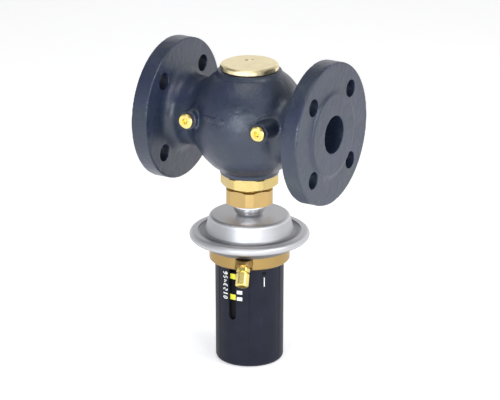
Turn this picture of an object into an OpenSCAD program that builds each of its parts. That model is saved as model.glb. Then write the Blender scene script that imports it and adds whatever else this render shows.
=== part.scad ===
// Self-acting differential pressure regulator for a heating or water circuit:
// a flanged globe body, a balanced cone on a stem, and below it a diaphragm
// actuator with a setting spring inside a turning handle.
// Millimetres, +Z up, +X along the flow. The origin is the centre of the
// inlet flange's sealing face. The stem axis is vertical, half way along.
// Drawn with the valve open and the setting part way up its scale.

/* [Flanges] */
// Face to face length along the flow axis
face_to_face = 200; // [199:0.5:204]
// Outside diameter of each flange
flange_d = 150; // [145:1:160]
// Thickness of each flange with its raised face
flange_t = 20; // [18:0.5:22]
// Height of the raised sealing face
raised_h = 2; // [1:0.5:3]
// Diameter of the raised sealing face
raised_d = 88; // [80:1:90]
// Bolt circle diameter
bolt_circle = 110; // [108:1:114]
// Bolt hole diameter
bolt_hole_d = 18; // [14:1:19]
// Port diameter
port_d = 40; // [36:1:42]

/* [Body casting] */
// Outside radius of the globe
globe_r = 61.3; // [60:0.1:63]
// Radius of the flow chamber inside the globe
chamber_r = 53; // [51:0.5:54]
// Radius of the necks behind the flanges
neck_r = 37; // [35:0.5:38]
// Radius of the blend between a neck and the globe
neck_blend = 14; // [8:1:18]
// Radius of the collar round the top plug
collar_r = 34; // [32:0.5:36]
// Height of the collar's top face above the flow axis
collar_top = 55; // [54:0.5:56]
// Radius of the boss under the globe
boss_r = 31; // [30:0.5:32]
// Depth of the boss's bottom face below the flow axis
boss_bottom = 57.4; // [57:0.2:58]
// Distance between the two test plugs along the flow axis
test_spacing = 80; // [74:1:84]
// How much farther out the outlet's test plug sits
test_shift = 5.4; // [0:0.2:6]
// Height of the test plugs above the flow axis
test_z = 9; // [6:1:12]
// Distance from the stem axis to the front of the test plugs
test_reach = 64; // [62:1:68]

/* [Brass work] */
// Width across flats of the top plug
plug_af = 59.2; // [57:0.2:60.6]
// Radius of the turned edge of the top plug
plug_r = 30.6; // [30:0.2:31]
// Width across flats of the valve insert's head
insert_af = 55.5; // [54:0.5:57]
// Width across flats of the union nut
union_af = 48.7; // [47:0.1:50]
// Radius of the brass spring housing ring
ring_r = 42.4; // [41:0.2:44]

/* [Valve trim] */
// Radius of the seat bore
seat_r = 17; // [16:0.5:17.5]
// Stroke of the stem from open to closed
stroke = 8; // [5:0.5:8]
// Radius of the stem
stem_r = 5; // [4.6:0.1:5]
// Radial clearance of a part that slides in its guide
run_gap = 0.05; // [0.03:0.01:0.08]

/* [Actuator] */
// Radius of the rolled rim of the diaphragm casing
rim_r = 63.3; // [62.5:0.1:64]
// Radius of the diaphragm plates
plate_r = 38; // [34:0.5:39]

/* [Setting handle] */
// Outside radius of the handle
handle_r = 36.3; // [36:0.1:37]
// Wall thickness of the handle
handle_wall = 3.2; // [2.8:0.1:3.3]
// Depth of the handle's bottom below the flow axis
handle_bottom = 264; // [263:0.5:266]
// Width of the window over the setting scale
window_w = 8.5; // [6:0.5:9]
// Number of grip grooves round the handle
grooves = 6; // [4:1:8]
// Number of turns in the setting spring
spring_turns = 7.5; // [6:0.5:8]

/* [Impulse tube fitting] */
// Angle of the fitting round the stem axis
fitting_angle = -67.5; // [-72:0.5:-60]
// Slope of the fitting below the horizontal
fitting_slope = 50; // [45:1:52]
// Radius of the tube socket
tube_r = 3.05; // [3:0.05:3.1]

/* [Hidden] */
$fn = 96;
e = 0.01;
sx = face_to_face / 2;
casting = [0.29, 0.33, 0.40];
brass = [0.84, 0.70, 0.42];
steel = [0.78, 0.78, 0.80];
dark_steel = [0.45, 0.45, 0.48];
black_plastic = [0.13, 0.13, 0.15];
rubber = [0.10, 0.10, 0.10];
yellow = [0.95, 0.92, 0.20];

// Heights on the stem axis, from the flow axis, valve open
plug_top = 61.5;
insert_head = [-70.4, -58.2];
union_z = [-90, -73];
spigot_end = -80.8;
neck_end = -107.5;
dome_top = -103.5;
flange_top = -122.8;
rim_z = -125.5;
ring_z = [-152.5, -138.6];
handle_top = -153.2;
pin_z = -158;
nut_z = [-234, -226];
seat_top = 7;
cone_face = seat_top + stroke;

// ---------- helpers ----------

module at_stem() translate([sx, 0, 0]) children();

// Frame of a test plug, out of the body being -Y: s is -1 at the inlet, 1 at the outlet
module at_test(s, reach) translate([sx + s * test_spacing / 2 + (s > 0 ? test_shift : 0), -reach, test_z])
  rotate([-90, 0, 0]) children();

// Solid disc and ring between two heights
module disc(z0, z1, r) translate([0, 0, z0]) cylinder(r = r, h = z1 - z0);
module ring(z0, z1, ro, ri) difference() {
  disc(z0, z1, ro);
  disc(z0 - 1, z1 + 1, ri);
}

// Turned body with both edges chamfered by c
module turned(z0, z1, r, c) rotate_extrude()
  polygon([[0, z0], [r - c, z0], [r, z0 + c], [r, z1 - c], [r - c, z1], [0, z1]]);

// Hexagon bar cut by a turned barrel: the corners become curved lands and
// the end faces get the scalloped chamfer of a turned nut
module hex_nut(z0, z1, af, land_r, c0, c1, turn = 0) intersection() {
  rotate([0, 0, turn]) translate([0, 0, z0]) cylinder(r = af / 2 / cos(30), h = z1 - z0, $fn = 6);
  rotate_extrude() polygon([[0, z0], [land_r - c0 * 1.7, z0], [land_r, z0 + c0], [land_r, z1 - c1],
    [land_r - c1 * 1.7, z1], [0, z1]]);
}

function arc(cx, cy, r, a0, a1, n) = [for (i = [0:n]) [cx + r * cos(a0 + (a1 - a0) * i / n), cy + r * sin(a0 + (a1 - a0) * i / n)]];

// ---------- valve body ----------

// Outside of the casting, revolved about the flow axis: x is the radius, y runs
// from the inlet face to the outlet face
blend_r = neck_r + neck_blend;
blend_x = sx - sqrt(pow(globe_r + neck_blend, 2) - pow(blend_r, 2));
seam_a = atan2(sx - blend_x, blend_r);
half_outline = concat(
  [[0, 0], [raised_d / 2, 0], [raised_d / 2, raised_h], [flange_d / 2 - 1, raised_h], [flange_d / 2, raised_h + 1],
    [flange_d / 2, flange_t - 1.5], [flange_d / 2 - 1.5, flange_t]],
  arc(neck_r + 5, flange_t + 5, 5, 270, 180, 5),
  arc(blend_r, blend_x, neck_blend, 180, 180 - seam_a * 5 / 6, 5));
function mirrored(pts) = [for (i = [len(pts) - 1:-1:0]) [pts[i][0], face_to_face - pts[i][1]]];
module casting_outline() rotate([0, 90, 0]) rotate_extrude()
  polygon(concat(half_outline, arc(0, sx, globe_r, -seam_a, seam_a, 20), mirrored(half_outline)));

module bolt_holes(x0, x1, d) for (k = [0:3]) rotate([45 + 90 * k, 0, 0])
  translate([x0, 0, bolt_circle / 2]) rotate([0, 90, 0]) cylinder(d = d, h = x1 - x0);

// S-shaped partition between the inlet side (below) and the outlet side (above)
module partition() rotate([90, 0, 0]) linear_extrude(height = 130, center = true)
  polygon([[sx - 34, -5], [sx - 45, 46], [sx - 38, 46], [sx - 27, 5],
    [sx + 34, 5], [sx + 45, -46], [sx + 38, -46], [sx + 27, -5]]);

module valve_body() color(casting) difference() {
  union() {
    casting_outline();
    // collar with a rounded lip, and the boss below
    at_stem() rotate_extrude() {
      square([collar_r - 3, collar_top]);
      square([collar_r, collar_top - 3]);
      translate([collar_r - 3, collar_top - 3]) circle(r = 3);
    }
    at_stem() turned(-boss_bottom, -30, boss_r, 0.8);
    // bosses for the test plugs
    for (s = [-1, 1]) at_test(s, test_reach - 5.2) cylinder(r = 10, h = 24);
  }
  // chamber with its partition, ports
  difference() {
    at_stem() sphere(r = chamber_r);
    partition();
  }
  translate([-1, 0, 0]) rotate([0, 90, 0]) cylinder(d = port_d, h = sx - 47);
  translate([sx + 48, 0, 0]) rotate([0, 90, 0]) cylinder(d = port_d, h = sx - 47);
  at_stem() {
    disc(-6, 6, 21);                // seat ring hole
    disc(collar_top, 70, 45);       // machined top face
    disc(44, 70, 24.1);             // thread of the top plug
    disc(-70, -boss_bottom, 45);    // machined bottom face
    disc(-70, -44, 24.1);           // thread of the insert
  }
  // test ports
  for (s = [-1, 1]) at_test(s, test_reach - 4) {
    cylinder(r = 5.6, h = 17);
    cylinder(r = 2, h = 39);
  }
  // the outlet's holes are drilled 0.4 mm wider
  bolt_holes(-1, flange_t + 1, bolt_hole_d);
  bolt_holes(face_to_face - flange_t - 1, face_to_face + 1, bolt_hole_d + 0.4);
}

module seat_ring() color(steel) at_stem() difference() {
  union() {
    disc(-5, seat_top, 20.9);
    disc(5.05, seat_top, 23);
  }
  disc(-6, seat_top + 1, seat_r);
}

// Plug over the globe with the cylinder of the pressure balance inside
module top_plug() color(brass) at_stem() difference() {
  union() {
    hex_nut(collar_top + 1, plug_top, plug_af, plug_r, 0.4, 1.6, 15);
    disc(44, collar_top + 1 + e, 24);
    disc(22, 44 + e, 18.5);
  }
  disc(21, 50, 15);
  // two punched dimples
  translate([-7.8, 7.2, plug_top - 0.6]) cylinder(r1 = 0.9, r2 = 1.9, h = 0.7);
  translate([-3.2, 11.7, plug_top - 0.6]) cylinder(r1 = 0.6, r2 = 1.3, h = 0.7);
  // vents under the plug
  for (k = [0:3]) rotate([0, 0, 45 + 90 * k]) translate([10, 0, 41]) rotate([0, 90, 0]) cylinder(r = 2, h = 10);
}

module top_plug_gasket() color("sienna") at_stem() ring(collar_top, collar_top + 1, 28, 24.3);

module test_plugs() color(brass) for (s = [-1, 1]) at_test(s, test_reach)
  difference() {
    union() {
      turned(0, 4, 7.9, 1.2);
      cylinder(r = 5.5, h = 17);
    }
    translate([0, 0, -1]) cylinder(r = 3 / cos(30), h = 6, $fn = 6);
  }

module test_plug_washers() color("sienna") for (s = [-1, 1]) at_test(s, test_reach - 4) ring(0, 1.2, 7, 5.7);

// ---------- insert and neck ----------

module valve_insert() color(brass) at_stem() difference() {
  union() {
    hex_nut(insert_head[0], insert_head[1], insert_af, 30.3, 1.8, 0.5, 22.6);
    disc(insert_head[1] - e, -45, 24);
    disc(-45 - e, -34, 12);
    turned(spigot_end, insert_head[0] + e, 20.8, 0.8);
  }
  disc(spigot_end - 1, -33, 5.6);
  disc(-50, -33, 8.05);
  disc(spigot_end - 1, -64, 9.05);
  // run-out groove of the union nut's thread
  ring(union_z[1] - 0.4, insert_head[0], 24, 18.2);
}

module insert_gasket() color("sienna") at_stem() ring(insert_head[1], -boss_bottom, 28.2, 24.3);

module stem_bush() color("tan") at_stem() ring(-50, -34.4, 8, stem_r + run_gap);

module stem_seals() color(rubber) at_stem() for (z = [-66.4, -71.8]) translate([0, 0, z])
  rotate_extrude() translate([stem_r + run_gap + 1.8, 0]) circle(r = 1.8);

module seal_spacer() color("tan") at_stem() ring(-69.8, -68.4, 9, stem_r + 0.3);

module gland_nut() color(brass) at_stem() difference() {
  ring(spigot_end, -73.7, 9, stem_r + 0.3);
  for (s = [-1, 1]) translate([s * 7.2, 0, spigot_end - 1]) cylinder(r = 0.8, h = 4);
}

module union_nut() color(brass) at_stem() difference() {
  hex_nut(union_z[0], union_z[1], union_af, 26, 1.0, 1.0);
  disc(union_z[0] + 5, union_z[1] + 1, 21);
  disc(union_z[0] - 1, union_z[1], 17.5);
}

module actuator_neck() color(steel) at_stem() difference() {
  union() {
    // collar held by the union nut, and a flared foot down to the dome
    turned(-84.9, spigot_end, 20.4, 0.5);
    rotate_extrude() polygon([[0, neck_end], [8, neck_end], [8, dome_top + 0.02], [11, dome_top + 0.02], [13.2, -102.6],
      [15, -101], [16.3, -99], [17, -96.8], [17.3, -94], [17.3, -84], [0, -84]]);
    disc(neck_end, dome_top - 2.05, 15);
  }
  disc(neck_end - 1, spigot_end + 1, 5.6);
}

// ---------- diaphragm casing ----------

module upper_casing() color(steel) at_stem() rotate_extrude() polygon(concat(
  [[8.1, dome_top]],
  arc(39, dome_top - 4, 4, 90, 15, 6),
  arc(50.67, flange_top + 4.5, 4.5, 194.9, 270, 6),
  [[58.6, flange_top], [58.6, -124.8], [48.3, -124.8], [46.6, -124.3], [45.3, -123], [44.65, -121]],
  arc(39, dome_top - 4, 2, 15, 90, 5),
  [[8.1, dome_top - 2]]));

module clamp_ring() color(dark_steel) at_stem() ring(-128.15, -126.4, 58.4, 50);

// Rolled rim that grips the upper casing, and the shallow bowl below
module lower_casing() color(steel) difference() {
  at_stem() rotate_extrude() polygon(concat(
  [[24.2, -138.5], [45, -138.5], [46.4, -138], [52.6, -130]],
  arc(rim_r - 4.5, rim_z, 4.5, -90, 90, 14),
  [[54.5, rim_z + 4.5], [54.5, rim_z + 2.7]],
  arc(rim_r - 4.5, rim_z, 2.7, 90, -90, 10),
  [[51.8, -128.2], [45, -136.8], [24.2, -136.8]]));
  // impulse passage
  at_fitting() disc(-14, -3, 2.3);
}

module casing_nut() color(brass) at_stem() ring(-136.75, -133.5, 25.5, 18.1);

// ---------- spring housing ring and fixed spindle ----------

// Frame of the impulse tube fitting: +Z of the children points out along it
module at_fitting() at_stem() rotate([0, 0, fitting_angle]) translate([ring_r, 0, -144])
  rotate([0, 90 + fitting_slope, 0]) children();

module housing_ring() color(brass) difference() {
  union() {
    at_stem() rotate_extrude() polygon([[0, ring_z[0]], [ring_r - 1.2, ring_z[0]], [ring_r, ring_z[0] + 1.2],
      [ring_r, ring_z[1] - 1], [ring_r - 1, ring_z[1]], [18, ring_z[1]], [18, -133.3], [0, -133.3]]);
    // pad for the fitting, kept below the casing
    intersection() {
      at_fitting() disc(-6, 5.5, 9.3);
      at_stem() disc(ring_z[0], -139.4, 60);
    }
  }
  at_stem() {
    disc(-160, -130, stem_r + run_gap);
    disc(-138.9, -130, 9);
    disc(-160, -147, 12.05);
    // recess that keeps the handle's rim in line
    ring(-155, -151.5, 34.5, 14);
  }
  // impulse passage into the lower chamber, thread and spot face of the fitting
  at_fitting() {
    disc(-12, 6, 2);
    disc(-1, 6, 5.1);
    disc(5.4, 12, 8.2);
  }
}

module stem_seal_lower() color(rubber) at_stem() translate([0, 0, -137.05])
  rotate_extrude() translate([stem_r + run_gap + 1.8, 0]) circle(r = 1.8);

module seal_cover() color(brass) at_stem() ring(-135.2, -133.4, 8.95, stem_r + 0.3);

// Fixed tube that carries the handle and the setting nut's thread
module spindle_tube() color(dark_steel) at_stem() difference() {
  union() {
    disc(-252, -147.05, 12);
    disc(-261.4, -252 + e, 9);
  }
  disc(-250, -146, 7);
  disc(-262, -249, 4);
  // slots in which the cross pin travels
  translate([-15, -2.65, pin_z - stroke - 2.7]) cube([30, 5.3, stroke + 5.4]);
  ring(-260.9, -259.5, 10, 8.1);
}

module bearing_washer() color("tan") at_stem() ring(-255.9, -252.1, 14, 9.3);

module retaining_ring() color(dark_steel) at_stem() difference() {
  ring(-260.8, -259.6, 12.5, 8.2);
  translate([5, -1.5, -262]) cube([10, 3, 4]);
}

// ---------- impulse tube fitting ----------

module fitting_body() color(brass) at_fitting() difference() {
  union() {
    disc(-0.9, 5.43 + e, 5);
    hex_nut(5.43, 10.5, 12.6, 7, 0.5, 0.5, 30);
    disc(10.5 - e, 16, 4.6);
  }
  disc(-2, 8, 2);
  disc(8, 17, tube_r);
}

module fitting_ferrule() color(brass) at_fitting() ring(16.1, 19.5, 4.3, tube_r);

module fitting_nut() color(brass) at_fitting() difference() {
  hex_nut(11.5, 26, 12.8, 6.9, 0.9, 1.1, 30);
  disc(10.5, 19.8, 4.9);
  disc(19, 27, tube_r);
}

// ---------- stem, cone and diaphragm ----------

module valve_stem() color(steel) at_stem() {
  disc(-96.5, cone_face - 8, stem_r);
  disc(cone_face - 8 - e, cone_face + 16, 4);
}

module valve_cone() color(steel) at_stem() difference() {
  rotate_extrude() polygon([
    [4.05, cone_face - 8], [8, cone_face - 8], [13, cone_face - 6.4], [seat_r - 0.5, cone_face - 2],
    [seat_r - 0.5, cone_face], [20, cone_face], [20, cone_face + 5],
    [15 - run_gap, cone_face + 6], [15 - run_gap, cone_face + 18], [13.1, cone_face + 18],
    [13.1, cone_face + 21], [15 - run_gap, cone_face + 21], [15 - run_gap, cone_face + 23],
    [10, cone_face + 23], [10, cone_face + 9], [4.05, cone_face + 9]]);
  // groove of the soft seal and the balance drillings
  ring(cone_face - 1, cone_face + 1.5, 19, 17.2);
  for (k = [0:2]) rotate([0, 0, 120 * k]) translate([7.9, 0, cone_face - 10]) cylinder(r = 1.2, h = 22);
}

module cone_seal() color(rubber) at_stem() ring(cone_face + 0.02, cone_face + 1.48, 18.95, 17.25);

module cone_nut() color(steel) at_stem() difference() {
  hex_nut(cone_face + 9.05, cone_face + 14, 10.5, 5.9, 0.4, 0.4);
  disc(cone_face + 8, cone_face + 16, 4.05);
}

module balance_seal() color(rubber) at_stem() ring(cone_face + 18.1, cone_face + 20.9, 15 - run_gap, 13.15);

module actuator_stem() color(steel) at_stem() difference() {
  union() {
    disc(-170, -96.5, stem_r);
    disc(-114.4, -111.4, 7.5);
  }
  translate([-10, 0, pin_z]) rotate([0, 90, 0]) cylinder(r = 2.55, h = 20);
}

module upper_diaphragm_plate() color(steel) at_stem() rotate_extrude() polygon([[stem_r + 0.05, -117.2],
  [plate_r - 2, -117.2], [plate_r, -116.2], [plate_r, -114.6], [plate_r - 2, -114.6], [plate_r - 3, -115.4], [12, -115.4],
  [11, -114.4], [stem_r + 0.05, -114.4]]);

module lower_diaphragm_plate() color(steel) at_stem() rotate_extrude() polygon([[stem_r + 0.05, -121.2],
  [12, -121.2], [13, -120.4], [plate_r - 3, -120.4], [plate_r - 2, -121.2], [plate_r, -121.2], [plate_r, -119.9],
  [plate_r - 2, -118.8], [stem_r + 0.05, -118.8]]);

module diaphragm_nut() color(steel) at_stem() difference() {
  hex_nut(-124.8, -121.2, 17, 9.4, 0.5, 0.5);
  disc(-127, -120, stem_r + 0.05);
}

// Rolling diaphragm: flat centre, a loop round the plates, a clamped edge
module diaphragm() color(rubber) at_stem() rotate_extrude() polygon([
  [stem_r + 0.05, -117.2], [plate_r + 0.2, -117.2], [39.8, -117.9], [40.7, -119.6], [41.3, -124.5],
  [42, -126.8], [43.2, -127.7], [44.5, -127], [45.6, -125.6], [46.8, -124.95], [48.3, -124.85], [58.4, -124.85],
  [58.4, -126.35], [48.4, -126.35], [47.4, -126.45], [46.7, -127], [45.6, -128.5], [43.3, -129.4],
  [41, -128.2], [39.8, -125.2], [39.2, -120.4], [38.8, -119.2], [plate_r + 0.2, -118.8], [stem_r + 0.05, -118.8]]);

module spring_follower() color(dark_steel) at_stem() difference() {
  union() {
    disc(-161.5, -154.6, 26);
    disc(-165, -161.5 + e, 16.5);
  }
  disc(-170, -150, 12.6);
  translate([-30, 0, pin_z]) rotate([0, 90, 0]) cylinder(r = 2.55, h = 60);
}

module cross_pin() color(steel) at_stem() translate([-24, 0, pin_z]) rotate([0, 90, 0]) cylinder(r = 2.5, h = 48);

// Round wire wound between the follower and the thrust washer
wire_r = 2.1;
coil_r = 20.5;
spring_z = [-223.9, -161.6];
spring_steps = 24;
// closed ends: the pitch starts and ends flat
function lift(t) = t < 0.1 ? 0 : t > 0.9 ? 1 : (t - 0.1) / 0.8;
module setting_spring() color(steel) at_stem() {
  n = round(spring_turns * spring_steps);
  sides = 8;
  z0 = spring_z[0] + wire_r;
  z1 = spring_z[1] - wire_r;
  pts = [for (i = [0:n]) let (a = 360 * i / spring_steps, z = z0 + (z1 - z0) * lift(i / n))
    for (k = [0:sides - 1]) let (b = 360 * k / sides)
      [(coil_r + wire_r * cos(b)) * cos(a), (coil_r + wire_r * cos(b)) * sin(a), z + wire_r * sin(b)]];
  faces = concat(
    [[for (k = [0:sides - 1]) k]],
    [for (i = [0:n - 1]) for (k = [0:sides - 1]) let (k2 = (k + 1) % sides)
      [i * sides + k, (i + 1) * sides + k, (i + 1) * sides + k2, i * sides + k2]],
    [[for (k = [sides - 1:-1:0]) n * sides + k]]);
  polyhedron(points = pts, faces = faces, convexity = 10);
}

// ---------- handle ----------

module handle() color(black_plastic) at_stem() difference() {
  rotate_extrude() difference() {
    polygon(concat([[9.05, -256], [handle_r - handle_wall - 1, -256], [handle_r - handle_wall, -255],
      [handle_r - handle_wall, handle_top], [handle_r - 0.8, handle_top], [handle_r, handle_top - 0.8]],
      [[handle_r - 0.5, -256.5]], arc(handle_r - 5.5, -(handle_bottom - 5), 5, 0, -90, 6),
      [[15, -handle_bottom], [15, -259.5], [9.05, -259.5]]));
  }
  // window over the scale
  translate([-window_w / 2, -handle_r - 2, -207]) cube([window_w, 8, 52]);
  translate([0, -handle_r - 2, -207]) rotate([-90, 0, 0]) cylinder(d = window_w, h = 8);
  // grip grooves
  for (k = [0:grooves - 1]) rotate([0, 0, 360 * k / grooves]) translate([handle_r + 0.3, 0, -258])
    cylinder(r = 1, h = 103);
  // keyways for the setting nut
  for (k = [0:2]) rotate([0, 0, 30 + 120 * k]) translate([handle_r - handle_wall - 1, -2, -254])
    cube([2, 4, 90]);
}

module handle_end_cap() color(black_plastic) at_stem() turned(-handle_bottom, -261.6, 14.9, 0.4);

// ---------- setting nut group ----------

sleeve_r = handle_r - handle_wall - 0.4;
module setting_nut() color(brass) at_stem() difference() {
  union() {
    disc(nut_z[0], nut_z[1], sleeve_r - 3);
    disc(nut_z[1] - e, nut_z[1] + 6, 16);
  }
  disc(nut_z[0] - 1, nut_z[1] + 7, 12 + 0.06);
  ring(nut_z[0] + 3, nut_z[1] + 1, 26, 17);
}

// Sleeve seen through the window, keyed to the handle
module indicator_sleeve() color(rubber) at_stem() difference() {
  union() {
    ring(nut_z[0], -159.6, sleeve_r, sleeve_r - 2.6);
    for (k = [0:2]) rotate([0, 0, 30 + 120 * k]) translate([sleeve_r - 2, -1.8, nut_z[0]])
      cube([2.9, 3.6, 16]);
  }
  for (z = [-164, -187]) ring(z - 3, z + 3, sleeve_r + 1, sleeve_r - 1);
}

module indicator_rings() color(yellow) at_stem() for (z = [-164, -187])
  ring(z - 2.95, z + 2.95, sleeve_r, sleeve_r - 0.95);

module thrust_washer() color(steel) at_stem() ring(-226, -224, 24.5, 16.4);

// ---------- the assembly ----------

valve_body();
seat_ring();
top_plug();
top_plug_gasket();
test_plugs();
test_plug_washers();
valve_insert();
insert_gasket();
stem_bush();
stem_seals();
seal_spacer();
gland_nut();
union_nut();
actuator_neck();
upper_casing();
clamp_ring();
lower_casing();
casing_nut();
housing_ring();
stem_seal_lower();
seal_cover();
spindle_tube();
bearing_washer();
retaining_ring();
fitting_body();
fitting_ferrule();
fitting_nut();
valve_stem();
valve_cone();
cone_seal();
cone_nut();
balance_seal();
actuator_stem();
upper_diaphragm_plate();
lower_diaphragm_plate();
diaphragm_nut();
spring_follower();
cross_pin();
diaphragm();
setting_spring();
handle();
handle_end_cap();
setting_nut();
indicator_sleeve();
indicator_rings();
thrust_washer();
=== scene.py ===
import math

import bmesh
import bpy
import numpy as np
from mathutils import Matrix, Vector


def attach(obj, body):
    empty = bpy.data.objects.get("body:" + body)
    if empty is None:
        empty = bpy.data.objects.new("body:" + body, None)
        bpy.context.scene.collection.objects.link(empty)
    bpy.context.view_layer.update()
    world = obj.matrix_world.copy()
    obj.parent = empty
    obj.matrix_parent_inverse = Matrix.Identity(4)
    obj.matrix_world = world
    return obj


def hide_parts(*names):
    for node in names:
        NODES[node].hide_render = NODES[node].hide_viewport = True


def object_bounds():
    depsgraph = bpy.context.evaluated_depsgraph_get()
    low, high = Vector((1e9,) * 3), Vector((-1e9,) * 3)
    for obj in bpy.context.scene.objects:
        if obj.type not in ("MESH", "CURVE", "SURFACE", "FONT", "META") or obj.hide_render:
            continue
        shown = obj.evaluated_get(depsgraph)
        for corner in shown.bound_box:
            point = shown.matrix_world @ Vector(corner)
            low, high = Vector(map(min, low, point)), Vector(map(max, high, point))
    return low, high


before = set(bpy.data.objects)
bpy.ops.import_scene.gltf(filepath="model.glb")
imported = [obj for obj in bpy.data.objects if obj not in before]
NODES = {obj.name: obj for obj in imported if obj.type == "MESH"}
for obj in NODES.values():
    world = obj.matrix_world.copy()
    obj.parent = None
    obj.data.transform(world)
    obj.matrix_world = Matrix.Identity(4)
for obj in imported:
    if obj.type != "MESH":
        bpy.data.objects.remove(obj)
CAD_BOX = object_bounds()

SX = 0.100           # stem axis
MM = 0.001


# ======================================================================
# materials
# ======================================================================

def srgb(r, g, b):
    """An 8 bit display colour as linear light."""
    out = []
    for v in (r, g, b):
        v /= 255
        out.append(v / 12.92 if v <= 0.04045 else ((v + 0.055) / 1.055) ** 2.4)
    return (*out, 1.0)


class Mat:
    """A node material with short calls for the textures used here. Sizes are in metres."""

    def __init__(self, name):
        self.m = bpy.data.materials.new(name)
        self.m.use_nodes = True
        self.nt = self.m.node_tree
        self.nt.nodes.clear()
        self.out = self.nt.nodes.new("ShaderNodeOutputMaterial")
        self.bsdf = self.nt.nodes.new("ShaderNodeBsdfPrincipled")
        self.link(self.bsdf.outputs[0], self.out.inputs[0])
        self.coord = self.nt.nodes.new("ShaderNodeTexCoord").outputs["Object"]
        self.bumps = []
        self._axis = {}

    def link(self, a, b):
        self.nt.links.new(a, b)

    def put(self, socket, value):
        if isinstance(value, bpy.types.NodeSocket):
            self.link(value, socket)
        else:
            socket.default_value = value

    def set(self, **k):
        for key, value in k.items():
            self.put(self.bsdf.inputs[key.replace("_", " ")], value)

    def math(self, op, a, b=None, c=None, clamp=False):
        n = self.nt.nodes.new("ShaderNodeMath")
        n.operation = op
        n.use_clamp = clamp
        self.put(n.inputs[0], a)
        if b is not None:
            self.put(n.inputs[1], b)
        if c is not None:
            self.put(n.inputs[2], c)
        return n.outputs[0]

    def mix(self, fac, a, b, mode="MIX"):
        n = self.nt.nodes.new("ShaderNodeMix")
        n.data_type = "RGBA"
        n.blend_type = mode
        self.put(n.inputs["Factor"], fac)
        self.put(n.inputs[6], a)
        self.put(n.inputs[7], b)
        return n.outputs[2]

    def ramp(self, fac, stops):
        n = self.nt.nodes.new("ShaderNodeValToRGB")
        el = n.color_ramp.elements
        while len(el) < len(stops):
            el.new(0.5)
        for e, (p, c) in zip(el, stops):
            e.position = p
            e.color = c if hasattr(c, "__len__") else (c, c, c, 1)
        self.put(n.inputs[0], fac)
        return n.outputs[0]

    def remap(self, v, a, b, c=0.0, d=1.0, smooth=False):
        n = self.nt.nodes.new("ShaderNodeMapRange")
        if smooth:
            n.interpolation_type = "SMOOTHSTEP"
        self.put(n.inputs["Value"], v)
        for key, x in (("From Min", a), ("From Max", b), ("To Min", c), ("To Max", d)):
            self.put(n.inputs[key], x)
        return n.outputs[0]

    def noise(self, size, detail=3, rough=0.55, vec=None, distort=0.0, stretch=None):
        """Noise whose blobs are about `size` metres across."""
        v = self.coord if vec is None else vec
        if stretch:
            n = self.nt.nodes.new("ShaderNodeMapping")
            n.inputs["Scale"].default_value = stretch
            self.link(v, n.inputs["Vector"])
            v = n.outputs[0]
        t = self.nt.nodes.new("ShaderNodeTexNoise")
        self.link(v, t.inputs["Vector"])
        t.inputs["Scale"].default_value = 1.0 / size
        t.inputs["Detail"].default_value = detail
        t.inputs["Roughness"].default_value = rough
        t.inputs["Distortion"].default_value = distort
        return t.outputs["Fac"]

    def cells(self, size, vec=None, out="Distance"):
        t = self.nt.nodes.new("ShaderNodeTexVoronoi")
        self.link(self.coord if vec is None else vec, t.inputs["Vector"])
        t.inputs["Scale"].default_value = 1.0 / size
        return t.outputs[out]

    def xyz(self):
        if "xyz" not in self._axis:
            n = self.nt.nodes.new("ShaderNodeSeparateXYZ")
            self.link(self.coord, n.inputs[0])
            self._axis["xyz"] = n.outputs
        return self._axis["xyz"]

    def about(self, axis="Z", centre=(SX, 0.0, 0.0)):
        """Radius, angle and height about an axis through centre."""
        key = (axis, centre)
        if key not in self._axis:
            x, y, z = self.xyz()
            x, y, z = (self.math("SUBTRACT", s, c) for s, c in zip((x, y, z), centre))
            u, v, w = {"Z": (x, y, z), "X": (y, z, x), "Y": (z, x, y)}[axis]
            r = self.math("SQRT", self.math("ADD", self.math("MULTIPLY", u, u), self.math("MULTIPLY", v, v)))
            self._axis[key] = (r, self.math("ARCTAN2", v, u), w)
        return self._axis[key]

    def turned(self, size, along=0.004, axis="Z", centre=(SX, 0.0, 0.0), detail=2):
        """Fine lines that run round an axis, as a lathe or a brush leaves them."""
        r, a, h = self.about(axis, centre)
        n = self.nt.nodes.new("ShaderNodeCombineXYZ")
        self.put(n.inputs[0], r)
        self.put(n.inputs[1], self.math("MULTIPLY", a, along))
        self.put(n.inputs[2], h)
        return self.noise(size, detail, 0.6, n.outputs[0])

    def bump(self, height, depth, strength=1.0):
        """Height 0..1 with `depth` metres of relief."""
        self.bumps.append((height, depth, strength))

    def done(self):
        last = None
        for height, depth, strength in self.bumps:
            n = self.nt.nodes.new("ShaderNodeBump")
            n.inputs["Strength"].default_value = strength
            n.inputs["Distance"].default_value = depth
            self.put(n.inputs["Height"], height)
            if last is not None:
                self.link(last, n.inputs["Normal"])
            last = n.outputs[0]
        if last is not None:
            self.link(last, self.bsdf.inputs["Normal"])
            if self.bsdf.inputs["Coat Weight"].default_value > 0:
                self.link(last, self.bsdf.inputs["Coat Normal"])
        return self.m


def shade(value, colour, amount):
    """Two colours about a base one."""
    lo = tuple(c * (1 - amount) for c in colour[:3]) + (1,)
    hi = tuple(min(1, c * (1 + amount)) for c in colour[:3]) + (1,)
    return lo, hi


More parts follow.
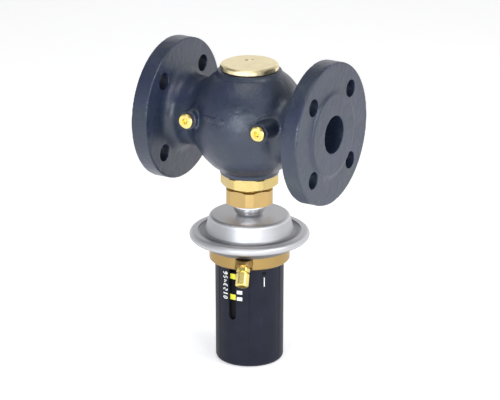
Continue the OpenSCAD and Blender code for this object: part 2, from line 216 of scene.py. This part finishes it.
def painted_casting():
    m = Mat("painted_casting")
    base = srgb(26, 39, 59)
    lo, hi = shade(0, base, 0.16)
    blotch = m.noise(0.021, 4, 0.6)
    c = m.mix(m.remap(blotch, 0.3, 0.7), lo, hi)
    # the paint is a little bluer in some areas than in others
    hue = m.noise(0.034, 3, 0.5, stretch=(1, 1.3, 0.8))
    c = m.mix(m.remap(hue, 0.42, 0.62, 0, 0.5), c, srgb(44, 48, 80))
    green = m.noise(0.026, 3, 0.5, stretch=(0.8, 1, 1.4))
    c = m.mix(m.remap(green, 0.52, 0.70, 0, 0.55), c, srgb(36, 54, 62))
    grain = m.noise(0.0013, 4, 0.65)
    c = m.mix(m.remap(grain, 0.25, 0.75, 0.0, 0.36), c, srgb(26, 35, 50))
    # dust and pinholes of a sand casting under the paint
    pits = m.cells(0.0034)
    pit = m.remap(pits, 0.0, 0.16, 1.0, 0.0, smooth=True)
    sparse = m.math("GREATER_THAN", m.noise(0.0075, 2), 0.56)
    pit = m.math("MULTIPLY", pit, sparse)
    c = m.mix(m.math("MULTIPLY", pit, 0.55), c, srgb(32, 38, 50))
    # painted shade: the port and the bolt holes are darkened, with less sheen, to stand for the shade inside them
    x, y, z = m.xyz()
    flow = m.about("X", (0.0, 0.0, 0.0))[0]
    side = [m.math("SUBTRACT", m.math("ABSOLUTE", v), 0.038891) for v in (y, z)]
    hole = m.math("SQRT", m.math("ADD", m.math("MULTIPLY", side[0], side[0]), m.math("MULTIPLY", side[1], side[1])))
    outer = m.math("GREATER_THAN", m.math("ABSOLUTE", m.math("SUBTRACT", x, SX)), 0.0785)
    bolt_hole_shade = m.math("MULTIPLY", outer, m.remap(hole, 0.0088, 0.0094, 1, 0, smooth=True))
    port_and_hole_shade = m.math("MAXIMUM", m.remap(flow, 0.0196, 0.0203, 1, 0, smooth=True), bolt_hole_shade)
    c = m.mix(m.math("MULTIPLY", port_and_hole_shade, 0.85), c, srgb(20, 24, 32))
    m.set(Base_Color=c,
          Roughness=m.math("ADD", m.remap(grain, 0.2, 0.8, 0.36, 0.48), m.remap(blotch, 0.3, 0.7, -0.05, 0.05)),
          Specular_IOR_Level=m.remap(port_and_hole_shade, 0, 1, 0.55, 0.22), Coat_Weight=0.32, Coat_Roughness=0.30)
    m.bump(m.noise(0.0075, 3, 0.5), 0.00055)
    m.bump(m.noise(0.0030, 3, 0.6), 0.00022)
    m.bump(grain, 0.00016)
    m.bump(m.math("SUBTRACT", 1.0, pit), 0.00022)
    return m.done()


def brass(name, colour, rough=0.27, line=0.0006, tarnish=0.25, depth=0.00002, dull=None,
          axis="Z", centre=(SX, 0.0, 0.0), shaded_dimples=()):
    m = Mat(name)
    lo, hi = shade(0, colour, 0.10)
    turned = m.turned(line, 0.006, axis, centre)
    cloud = m.noise(0.009, 5, 0.62, distort=0.4)
    fine = m.noise(0.0016, 4, 0.6)
    c = m.mix(turned, lo, hi)
    dull = dull or srgb(150, 116, 62)
    c = m.mix(m.remap(cloud, 0.46, 0.74, 0.0, tarnish), c, dull)
    c = m.mix(m.remap(fine, 0.60, 0.80, 0.0, tarnish * 0.7), c, srgb(150, 118, 66))
    # painted shade in the punched dimples, each (x, y, radius)
    for px, py, pr in shaded_dimples:
        away = m.about("Z", (px, py, 0.0))[0]
        c = m.mix(m.remap(away, pr * 0.7, pr * 1.15, 0.9, 0.0, smooth=True), c, srgb(92, 66, 30))
    m.set(Base_Color=c, Metallic=1.0,
          Roughness=m.math("ADD", m.remap(turned, 0.2, 0.8, rough - 0.06, rough + 0.07),
                           m.remap(cloud, 0.4, 0.7, 0.0, 0.08)))
    m.bump(turned, depth)
    m.bump(fine, depth * 1.5)
    return m.done()


def stainless(name="stainless", colour=(0.69, 0.69, 0.71, 1), rough=0.48, line=0.0005):
    m = Mat(name)
    lo, hi = shade(0, colour, 0.04)
    turned = m.turned(line, 0.010)
    wide = m.turned(0.005, 0.02, detail=2)
    fine = m.noise(0.0025, 4, 0.6)
    c = m.mix(turned, lo, hi)
    c = m.mix(m.remap(wide, 0.45, 0.8, 0.0, 0.08), c, (0.62, 0.62, 0.65, 1))
    # painted shade: darker in the fold at the foot of the dome and under the rolled rim, and on the dome's wall and the
    # rim's outer band to hold down their reflections
    r, a, h = m.about()
    fold_shade = m.math("MULTIPLY", m.remap(r, 0.0461, 0.0466, 0, 1, smooth=True), m.remap(r, 0.0505, 0.0552, 1, 0, smooth=True))
    fold_shade = m.math("MULTIPLY", fold_shade, m.remap(h, -0.1188, -0.1200, 0, 1, smooth=True))
    underside_shade = m.remap(h, -0.1268, -0.1300, 0, 1, smooth=True)
    wall_shade = m.math("MULTIPLY", m.remap(h, -0.1062, -0.1076, 0, 1, smooth=True), m.remap(h, -0.1190, -0.1197, 1, 0, smooth=True))
    rim_shade = m.math("MULTIPLY", m.remap(r, 0.0570, 0.0590, 0, 1, smooth=True), m.remap(h, -0.1228, -0.1242, 0, 1, smooth=True))
    c = m.mix(m.math("MULTIPLY", m.math("MAXIMUM", wall_shade, rim_shade), 0.42), c, (0.34, 0.34, 0.35, 1))
    c = m.mix(m.math("MULTIPLY", fold_shade, 0.62), c, (0.15, 0.15, 0.16, 1))
    c = m.mix(m.math("MULTIPLY", underside_shade, 0.72), c, (0.16, 0.145, 0.13, 1))
    m.set(Base_Color=c, Metallic=1.0,
          Roughness=m.math("ADD", m.remap(turned, 0.2, 0.8, rough - 0.05, rough + 0.08),
                           m.remap(fine, 0.45, 0.75, 0.0, 0.05)))
    m.bump(turned, 0.0000015)
    m.bump(m.noise(0.024, 2), 0.00006)
    return m.done()


def steel(name, colour, rough=0.30):
    m = Mat(name)
    lo, hi = shade(0, colour, 0.12)
    turned = m.turned(0.0005, 0.01)
    cloud = m.noise(0.006, 4)
    c = m.mix(turned, lo, hi)
    c = m.mix(m.remap(cloud, 0.5, 0.75, 0.0, 0.3), c, tuple(x * 0.7 for x in colour[:3]) + (1,))
    m.set(Base_Color=c, Metallic=1.0, Roughness=m.remap(turned, 0.2, 0.8, rough - 0.06, rough + 0.08))
    m.bump(turned, 0.00002)
    return m.done()


def black_plastic(name="black_plastic", colour=srgb(34, 36, 47), grain_depth=0.00005):
    m = Mat(name)
    lo, hi = shade(0, colour, 0.14)
    grain = m.noise(0.0006, 3, 0.6)
    cloud = m.noise(0.016, 3, 0.55)
    c = m.mix(m.remap(cloud, 0.3, 0.7), lo, hi)
    c = m.mix(m.remap(grain, 0.5, 0.8, 0.0, 0.35), c, srgb(46, 48, 61))
    # faint rub marks on the grip
    rub = m.noise(0.004, 4, 0.7, stretch=(1, 1, 0.12))
    c = m.mix(m.remap(rub, 0.60, 0.74, 0.0, 0.20), c, srgb(56, 58, 70))
    m.set(Base_Color=c, Roughness=m.math("ADD", m.remap(grain, 0.2, 0.8, 0.38, 0.50),
                                         m.remap(cloud, 0.3, 0.7, -0.03, 0.05)),
          Specular_IOR_Level=0.10)
    m.bump(grain, grain_depth)
    m.bump(cloud, 0.00015)
    return m.done()


def plastic(name, colour, rough=0.4, amount=0.1, speck=None):
    m = Mat(name)
    lo, hi = shade(0, colour, amount)
    grain = m.noise(0.0007, 3, 0.6)
    cloud = m.noise(0.008, 3)
    c = m.mix(m.remap(cloud, 0.3, 0.7), lo, hi)
    if speck:
        c = m.mix(m.remap(grain, 0.55, 0.75, 0.0, 0.6), c, speck)
    m.set(Base_Color=c, Roughness=m.remap(grain, 0.2, 0.8, rough - 0.06, rough + 0.08))
    m.bump(grain, 0.00004)
    return m.done()


MATS = {
    "painted": painted_casting(),
    "brass_plug": brass("brass_plug", srgb(250, 232, 186), 0.30, 0.0005, 0.16, 0.00003, srgb(206, 178, 124),
                        shaded_dimples=((SX - 0.0078, 0.0072, 0.0019), (SX - 0.0032, 0.0117, 0.0013))),
    "brass_bright": brass("brass_bright", srgb(206, 184, 122), 0.26, 0.0007, 0.20, 0.00002, srgb(200, 168, 96)),
    "brass_matt": brass("brass_matt", srgb(196, 166, 110), 0.34, 0.0009, 0.18, 0.00002, srgb(196, 166, 112)),
    # painted shade: a darker copy of the brass for the housing ring, for its place in shade under the casing rim
    "brass_ring_shaded": brass("brass_ring_shaded", srgb(168, 140, 88), 0.34, 0.0006, 0.24, 0.00002, srgb(176, 146, 92)),
    "brass_small": brass("brass_small", srgb(250, 226, 140), 0.28, 0.0006, 0.30, 0.000015, srgb(170, 132, 64)),
    "stainless": stainless(),
    "steel": steel("steel", (0.62, 0.62, 0.64, 1)),
    "steel_neck": steel("steel_neck", (0.86, 0.86, 0.88, 1), 0.16),
    "dark_steel": steel("dark_steel", (0.22, 0.22, 0.24, 1), 0.38),
    "black": black_plastic(),
    "black_inner": black_plastic("black_inner", srgb(16, 16, 19)),
    "yellow": plastic("yellow_plastic", srgb(244, 240, 70), 0.45, 0.06),
    "white": plastic("white_print", srgb(244, 244, 244), 0.5, 0.03),
    "rubber": plastic("rubber", srgb(30, 30, 31), 0.6, 0.15),
    "polymer": plastic("bearing_polymer", srgb(190, 176, 150), 0.5, 0.1, srgb(140, 120, 92)),
    "fibre": plastic("fibre_gasket", srgb(120, 74, 52), 0.75, 0.2, srgb(160, 110, 84)),
}

NODE_MAT = {
    "valve_body": "painted", "seat_ring": "steel", "top_plug": "brass_plug", "top_plug_gasket": "fibre",
    "test_plugs": "brass_small", "test_plug_washers": "fibre", "valve_insert": "brass_bright",
    "insert_gasket": "fibre", "stem_bush": "polymer", "stem_seals": "rubber", "seal_spacer": "polymer",
    "gland_nut": "brass_matt", "union_nut": "brass_matt", "actuator_neck": "steel_neck",
    "upper_casing": "stainless", "clamp_ring": "dark_steel", "lower_casing": "stainless",
    "casing_nut": "brass_matt", "housing_ring": "brass_ring_shaded", "stem_seal_lower": "rubber",
    "seal_cover": "brass_matt", "spindle_tube": "dark_steel", "bearing_washer": "polymer",
    "retaining_ring": "dark_steel", "fitting_body": "brass_small", "fitting_ferrule": "brass_small",
    "fitting_nut": "brass_small", "valve_stem": "steel", "valve_cone": "steel", "cone_seal": "rubber",
    "cone_nut": "steel", "balance_seal": "rubber", "actuator_stem": "steel",
    "upper_diaphragm_plate": "stainless", "lower_diaphragm_plate": "stainless", "diaphragm_nut": "steel",
    "spring_follower": "dark_steel", "cross_pin": "steel", "diaphragm": "rubber", "setting_spring": "steel",
    "handle": "black", "handle_end_cap": "black", "setting_nut": "brass_matt",
    "indicator_sleeve": "black_inner", "indicator_rings": "yellow", "thrust_washer": "steel",
}
for name, key in NODE_MAT.items():
    o = NODES[name]
    o.data.materials.clear()
    o.data.materials.append(MATS[key])


# ======================================================================
# the casting, as one blended surface
# ======================================================================
# Distances are in millimetres from the globe's centre: x along the flow,
# y to the back, z up.

def cyl(rad, along, r, h0, h1, rr=0.0):
    """Distance to a cylinder of radius r between h0 and h1 with edges rounded by rr."""
    dx = rad - (r - rr)
    dy = np.abs(along - (h0 + h1) / 2) - ((h1 - h0) / 2 - rr)
    return np.minimum(np.maximum(dx, dy), 0) + np.hypot(np.maximum(dx, 0), np.maximum(dy, 0)) - rr


def join_round(a, b, r):
    return np.maximum(r, np.minimum(a, b)) - np.hypot(np.maximum(r - a, 0), np.maximum(r - b, 0))


def both_round(a, b, r):
    return np.minimum(-r, np.maximum(a, b)) + np.hypot(np.maximum(r + a, 0), np.maximum(r + b, 0))


def cut_round(a, b, r):
    return both_round(a, -b, r)


def polygon(px, pz, pts):
    """Signed distance to a polygon, negative inside."""
    best = np.full(px.shape, 1e9)
    inside = np.zeros(px.shape, bool)
    n = len(pts)
    for i in range(n):
        ax, az = pts[i]
        bx, bz = pts[(i + 1) % n]
        ex, ez = bx - ax, bz - az
        wx, wz = px - ax, pz - az
        t = np.clip((wx * ex + wz * ez) / (ex * ex + ez * ez), 0, 1)
        best = np.minimum(best, (wx - ex * t) ** 2 + (wz - ez * t) ** 2)
        cross = (az > pz) != (bz > pz)
        with np.errstate(divide="ignore", invalid="ignore"):
            hit = px < (bx - ax) * (pz - az) / (bz - az if bz != az else 1e-9) + ax
        inside ^= cross & hit
    d = np.sqrt(best)
    return np.where(inside, -d, d)


BLEND_X = math.sqrt((61.3 + 14) ** 2 - (37 + 14) ** 2)


def waves(x, y, z):
    """A slow, even unevenness of a sand casting, from -1 to 1."""
    return (np.sin(x * 0.31 + 1.7 * np.sin(y * 0.17 + 0.4)) * np.sin(y * 0.27 + 1.3 * np.sin(z * 0.21 + 2.0))
            + np.sin(z * 0.36 + 1.1 * np.sin(x * 0.13 + 1.1)) * np.sin(x * 0.19 - y * 0.15 + 0.7)) * 0.5


def arrow(x, z):
    """Flow arrow seen from the front, about its own centre, 26 mm long."""
    return polygon(x, z, [(-13, -1.7), (3.5, -1.7), (3.5, -5.2), (13, 0), (3.5, 5.2), (3.5, 1.7), (-13, 1.7)])


def casting(x, y, z):
    ax = np.abs(x)
    rx = np.hypot(y, z)
    rs = np.hypot(x, y)
    big = np.sqrt(rs * rs + z * z)
    # globe and necks with their torus blend, and the fillets behind the flanges
    globe = big - 61.3
    neck = np.maximum(rx - 37, ax - 95)
    body = np.minimum(globe, neck)
    wedge = (rx < 51) & (rx * BLEND_X < ax * 51) & (ax < BLEND_X)
    body = np.where(wedge, np.maximum(14 - np.hypot(ax - BLEND_X, rx - 51), -30), body)
    # the necks swell a little behind the flanges
    flange = cyl(rx, ax, 75, 80, 98, 1.7)
    body = join_round(body, flange, 12)
    wave = 0.22 * waves(x, y, z)
    body = body - wave * np.clip((79 - ax) / 6, 0, 1)
    # collar, boss and test bosses
    body = join_round(body, cyl(rs, z, 34, 15, 55, 2.8), 2.2)
    body = join_round(body, cyl(rs, z, 31, -57.4, -15, 0.9), 2.4)
    test = np.hypot(ax - np.where(x > 0, 45.4, 40.0), z - 9)
    boss = cyl(test, y, 10, -58.9, -12, 1.4)
    body = join_round(body, boss, 3.2)
    # flow arrow raised on the front
    mark = np.maximum(np.maximum(arrow(x + 9, z - 14.5), globe - 1.0), y)
    body = join_round(body, both_round(arrow(x + 9, z - 14.5) - 0.3, np.maximum(globe - 1.3, y), 0.5), 0.6)
    # raised sealing faces
    body = join_round(body, cyl(rx, ax, 44, 85, 100, 1.0), 1.8)
    # flow chamber with its S-shaped partition, and the ports
    part = polygon(x, z, [(-34, -5), (-45, 46), (-38, 46), (-27, 5), (34, 5), (45, -46), (38, -46), (27, -5)])
    room = cut_round(big - 53, part, 3)
    room = join_round(room, np.maximum(rx - 20, 40 - ax), 5)
    body = cut_round(body, room, 1.2)
    # turned holes
    for hole in (
        cyl(rs, z, 21, -7, 7),
        cyl(rs, z, 24.1, 44, 70),
        cyl(rs, z, 24.1, -70, -44),
        np.maximum(test - 5.6, np.maximum(y + 43, -61 - y)),
        np.maximum(test - 2.0, np.maximum(y + 21, -61 - y)),
    ):
        body = np.maximum(body, -hole)
    bolt = np.maximum(np.hypot(np.abs(y) - 38.891, np.abs(z) - 38.891) - np.where(x > 0, 9.2, 9.0), 70 - ax)
    return cut_round(body, bolt, 0.6)


def gradient(f, p, h=0.02):
    g = np.empty_like(p)
    for k in range(3):
        a, b = p.copy(), p.copy()
        a[:, k] += h
        b[:, k] -= h
        g[:, k] = f(*a.T) - f(*b.T)
    n = np.linalg.norm(g, axis=1, keepdims=True)
    return g / np.maximum(n, 1e-12)


def contour(f, lo, hi, step):
    """Quads on the surface f = 0, with a vertex a cell placed by the planes that cross it, so that edges stay sharp."""
    axes = [np.arange(lo[k], hi[k] + step, step) for k in range(3)]
    shape = tuple(len(a) for a in axes)
    field = np.empty(shape)
    for i, xv in enumerate(axes[0]):            # a slab at a time
        yy, zz = np.meshgrid(axes[1], axes[2], indexing="ij")
        field[i] = f(np.full(yy.shape, xv), yy, zz)
    field[np.abs(field) < 1e-7] = 1e-7
    sign = field < 0
    edges = []
    for k in range(3):
        a = [slice(None)] * 3
        b = [slice(None)] * 3
        a[k], b[k] = slice(0, -1), slice(1, None)
        idx = np.argwhere(sign[tuple(a)] != sign[tuple(b)])
        other = idx.copy()
        other[:, k] += 1
        fa = field[tuple(idx.T)]
        fb = field[tuple(other.T)]
        origin = np.array(lo) + idx * step
        lo_t, hi_t = np.zeros(len(idx)), np.ones(len(idx))
        t = fa / (fa - fb)
        for _ in range(5):                      # false position with bisection
            p = origin.copy()
            p[:, k] += t * step
            v = f(*p.T)
            same = (v < 0) == (fa < 0)
            lo_t = np.where(same, t, lo_t)
            hi_t = np.where(same, hi_t, t)
            fa2 = np.where(same, v, fa)
            fb2 = np.where(same, fb, v)
            fa, fb = fa2, fb2
            t = lo_t + (hi_t - lo_t) * np.clip(fa / (fa - fb + 1e-30), 0.05, 0.95)
        p = origin.copy()
        p[:, k] += t * step
        edges.append((idx, p, gradient(f, p)))
    # least squares in every cell
    cells_shape = tuple(s - 1 for s in shape)
    flat = lambda c: (c[:, 0] * cells_shape[1] + c[:, 1]) * cells_shape[2] + c[:, 2]
    ids, pts, nrm = [], [], []
    for k, (idx, p, n) in enumerate(edges):
        u, v = [i for i in range(3) if i != k]
        for du in (0, -1):
            for dv in (0, -1):
                c = idx.copy()
                c[:, u] += du
                c[:, v] += dv
                ok = np.all((c >= 0) & (c < np.array(cells_shape)), axis=1)
                ids.append(flat(c[ok]))
                pts.append(p[ok])
                nrm.append(n[ok])
    ids, pts, nrm = np.concatenate(ids), np.concatenate(pts), np.concatenate(nrm)
    used, inv = np.unique(ids, return_inverse=True)
    m = len(used)
    count = np.bincount(inv, minlength=m).astype(float)
    mass = np.stack([np.bincount(inv, pts[:, k], m) for k in range(3)], 1) / count[:, None]
    rel = pts - mass[inv]
    rhs = np.einsum("ij,ij->i", nrm, rel)
    ata = np.empty((m, 3, 3))
    atb = np.empty((m, 3))
    for i in range(3):
        atb[:, i] = np.bincount(inv, nrm[:, i] * rhs, m)
        for j in range(3):
            ata[:, i, j] = np.bincount(inv, nrm[:, i] * nrm[:, j], m)
    w, vec = np.linalg.eigh(ata)
    keep = w > 0.06 * w[:, 2:3]
    winv = np.where(keep, 1 / np.where(keep, w, 1), 0)
    x = np.einsum("nij,nj,nkj,nk->ni", vec, winv, vec, atb)
    cell = np.stack(np.unravel_index(used, cells_shape), 1)
    base = np.array(lo) + cell * step
    vert = np.clip(mass + x, base - 0.15 * step, base + 1.15 * step)
    lookup = np.full(int(np.prod(cells_shape)), -1, np.int64)
    lookup[used] = np.arange(m)
    quads = []
    for k, (idx, p, n) in enumerate(edges):
        u, v = [(1, 2), (2, 0), (0, 1)][k]
        corner = []
        for du, dv in ((0, 0), (-1, 0), (-1, -1), (0, -1)):
            c = idx.copy()
            c[:, u] += du
            c[:, v] += dv
            corner.append(lookup[flat(c)])
        q = np.stack(corner, 1)
        inside_first = sign[tuple(idx.T)]
        q[~inside_first] = q[~inside_first][:, ::-1]
        quads.append(q)
    return vert, np.concatenate(quads)


def mesh_from(name, verts, faces, body, mat):
    me = bpy.data.meshes.new(name)
    n = len(faces)
    k = faces.shape[1]
    me.vertices.add(len(verts))
    me.vertices.foreach_set("co", np.asarray(verts, np.float32).ravel())
    me.loops.add(n * k)
    me.loops.foreach_set("vertex_index", np.asarray(faces, np.int32).ravel())
    me.polygons.add(n)
    me.polygons.foreach_set("loop_start", np.arange(0, n * k, k, dtype=np.int32))
    me.update(calc_edges=True)
    me.validate()
    ob = bpy.data.objects.new(name, me)
    bpy.context.scene.collection.objects.link(ob)
    me.materials.append(mat)
    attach(ob, body)
    return ob


def smooth(ob, degrees=32):
    """Smooth shading, with edges sharper than that kept."""
    me = ob.data
    bm = bmesh.new()
    bm.from_mesh(me)
    bmesh.ops.recalc_face_normals(bm, faces=bm.faces)
    limit = math.radians(degrees)
    for f in bm.faces:
        f.smooth = True
    for e in bm.edges:
        e.smooth = len(e.link_faces) == 2 and e.calc_face_angle(0.0) < limit
    bm.to_mesh(me)
    bm.free()


step = 1.5
verts, quads = contour(casting, (-101.3, -76.4, -76.4), (101.3, 76.4, 76.4), step)
body_mesh = mesh_from("body_casting", verts * MM + np.array([SX, 0, 0]), quads, "housing",
                      MATS["painted"])
smooth(body_mesh)
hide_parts("valve_body")


# ======================================================================
# scale marks on the handle
# ======================================================================

HANDLE_R = 36.3


def on_handle(rects, raise_mm=0.12):
    """Closed patches on the handle. Each is (angle in degrees of its centre, s0, s1, z0, z1), in millimetres along the skin."""
    verts, faces = [], []
    for centre, s0, s1, z0, z1 in rects:
        n = max(1, int((s1 - s0) / 0.8))
        start = len(verts)
        for i in range(n + 1):
            a = math.radians(centre) + (s0 + (s1 - s0) * i / n) / HANDLE_R
            for r in (HANDLE_R - 0.05, HANDLE_R + raise_mm):
                for z in (z0, z1):
                    verts.append((SX + MM * r * math.cos(a), MM * r * math.sin(a), MM * z))
        for i in range(n):
            a, b = start + 4 * i, start + 4 * i + 4
            faces += [(a + 2, b + 2, b + 3, a + 3), (a, a + 1, b + 1, b), (a, b, b + 2, a + 2), (a + 1, a + 3, b + 3, b + 1)]
        e = start + 4 * n
        faces += [(start, start + 2, start + 3, start + 1), (e, e + 1, e + 3, e + 2)]
    return np.array(verts), np.array(faces)


SEGMENTS = {0: "abcdef", 1: "bc", 2: "abged", 3: "abgcd", 4: "fgbc", 5: "afgcd", 6: "afgedc"}


def digit(value, centre, z, high=6.2, wide=3.3, line=1.25):
    """A plain numeral lying on its side, read upwards: its top points left and its own x axis up."""
    gap = 0.12
    h, w, t = high, wide, line
    bars = {                                  # x0, x1, y0, y1 of an upright numeral
        "a": (t * 0.6, w - t * 0.6, h - t, h), "d": (t * 0.6, w - t * 0.6, 0, t),
        "g": (t + gap, w - t - gap, (h - t) / 2, (h + t) / 2),
        "f": (0, t, h / 2 + gap, h - t - gap), "b": (w - t, w, h / 2 + gap, h - t - gap),
        "e": (0, t, t + gap, h / 2 - gap), "c": (w - t, w, t + gap, h / 2 - gap),
    }
    if value == 1:
        bars = {"b": ((w - t) / 2, (w + t) / 2, h / 2, h), "c": ((w - t) / 2, (w + t) / 2, 0, h / 2 - 0.01)}
    out = []
    for k in SEGMENTS[value]:
        x0, x1, y0, y1 = bars[k]
        out.append((centre, h / 2 - y1, h / 2 - y0, z + x0, z + x1))
    return out


white = []
for i in range(7):
    white += digit(i, -103.8, -189.3 + 4.55 * i)
for z in (-188.6, -181.4):
    white.append((-76.6, -3.0, 3.0, z, z + 4.0))
white.append((-34.6, -0.5, 0.5, -173.5, -163.0))
v, q = on_handle(white)
marks = mesh_from("scale_marks", v, q, "handle", MATS["white"])
# painted shade: a thin near-black patch just under the brass ring stands in for the shade of a small hole there
v, q = on_handle([(-34.6, -2.4, 2.4, -160.4, -157.2)], 0.04)
handle_hole_patch = mesh_from("handle_hole_shade", v, q, "handle", MATS["black_inner"])


# ======================================================================
# camera, floor and light
# ======================================================================

AZ, EL = math.radians(30.279), math.radians(19.339)
back = Vector((math.sin(AZ) * math.cos(EL), -math.cos(AZ) * math.cos(EL), math.sin(EL)))
cam_data = bpy.data.cameras.new("camera")
cam = bpy.data.objects.new("camera", cam_data)
bpy.context.scene.collection.objects.link(cam)
cam_data.sensor_width = 36
cam_data.lens = 3376.3 * 36 / 500
cam_data.clip_start, cam_data.clip_end = 0.05, 100
cam.location = Vector((0.100575, 0, -0.088667)) + back * 3.5393
cam.rotation_mode = "QUATERNION"
cam.rotation_quaternion = (-back).to_track_quat("-Z", "Y")
bpy.context.scene.camera = cam


def floor_material():
    m = Mat("floor")
    c = m.mix(m.remap(m.noise(0.6, 3), 0.3, 0.7), (0.90, 0.90, 0.90, 1), (0.93, 0.93, 0.93, 1))
    m.set(Base_Color=c, Roughness=m.remap(m.noise(0.01, 3), 0.2, 0.8, 0.75, 0.85), Specular_IOR_Level=0.2,
          Emission_Color=(1, 1, 1, 1), Emission_Strength=0.46)
    return m.done()


floor_z = CAD_BOX[0].z - 0.0004
me = bpy.data.meshes.new("floor")
me.from_pydata([(-30, -30, floor_z), (30, -30, floor_z), (30, 30, floor_z), (-30, 30, floor_z)], [], [(0, 1, 2, 3)])
floor = bpy.data.objects.new("floor", me)
bpy.context.scene.collection.objects.link(floor)
me.materials.append(floor_material())


def softbox(name, az, el, dist, w, h, power, target=(0.1, 0, -0.08), colour=(1, 1, 1)):
    a, e = math.radians(az), math.radians(el)
    d = Vector((math.sin(a) * math.cos(e), -math.cos(a) * math.cos(e), math.sin(e)))
    data = bpy.data.lights.new(name, "AREA")
    data.shape = "RECTANGLE"
    data.size, data.size_y = w, h
    data.energy = power
    data.color = colour
    ob = bpy.data.objects.new(name, data)
    ob.location = Vector(target) + d * dist
    ob.rotation_mode = "QUATERNION"
    ob.rotation_quaternion = d.to_track_quat("Z", "Y")
    bpy.context.scene.collection.objects.link(ob)
    return ob


softbox("key", 10, 13, 1.5, 0.34, 0.34, 9.2, colour=(0.86, 0.93, 1.0))
softbox("side_key", 50, 12, 1.5, 0.20, 0.30, 5, colour=(0.92, 0.95, 1.0))
softbox("right", 84, 30, 1.9, 0.8, 1.0, 13)
softbox("top", 10, 80, 1.8, 1.2, 1.2, 10)

# a bright room, lighter in front than behind and lighter low down
world = bpy.data.worlds.new("studio")
bpy.context.scene.world = world
world.use_nodes = True
nt = world.node_tree
bg = nt.nodes["Background"]
tc = nt.nodes.new("ShaderNodeTexCoord")
sep = nt.nodes.new("ShaderNodeSeparateXYZ")
nt.links.new(tc.outputs["Generated"], sep.inputs[0])


def world_ramp(socket, stops):
    up = nt.nodes.new("ShaderNodeMath")
    up.operation = "MULTIPLY_ADD"
    up.inputs[1].default_value = 0.5
    up.inputs[2].default_value = 0.5
    nt.links.new(socket, up.inputs[0])
    ramp = nt.nodes.new("ShaderNodeValToRGB")
    el = ramp.color_ramp.elements
    while len(el) < len(stops):
        el.new(0.5)
    for e, (at, v) in zip(el, stops):
        e.position = at
        e.color = (v, v, v * 1.01, 1)
    nt.links.new(up.outputs[0], ramp.inputs[0])
    return ramp.outputs[0]


height = world_ramp(sep.outputs["Z"], [(0.0, 0.8), (0.50, 1.0), (0.64, 1.0), (0.73, 0.72), (0.82, 0.34), (0.93, 0.30), (1.0, 0.5)])
depth = world_ramp(sep.outputs["Y"], [(0.0, 1.0), (0.40, 0.92), (0.62, 1.0), (0.80, 1.75), (1.0, 1.75)])
both = nt.nodes.new("ShaderNodeMix")
both.data_type = "RGBA"
both.blend_type = "MULTIPLY"
both.inputs["Factor"].default_value = 1.0
nt.links.new(height, both.inputs[6])
nt.links.new(depth, both.inputs[7])
nt.links.new(both.outputs[2], bg.inputs["Color"])
bg.inputs["Strength"].default_value = 0.62

bpy.context.scene.view_settings.view_transform = "Standard"
bpy.context.scene.view_settings.look = "None"
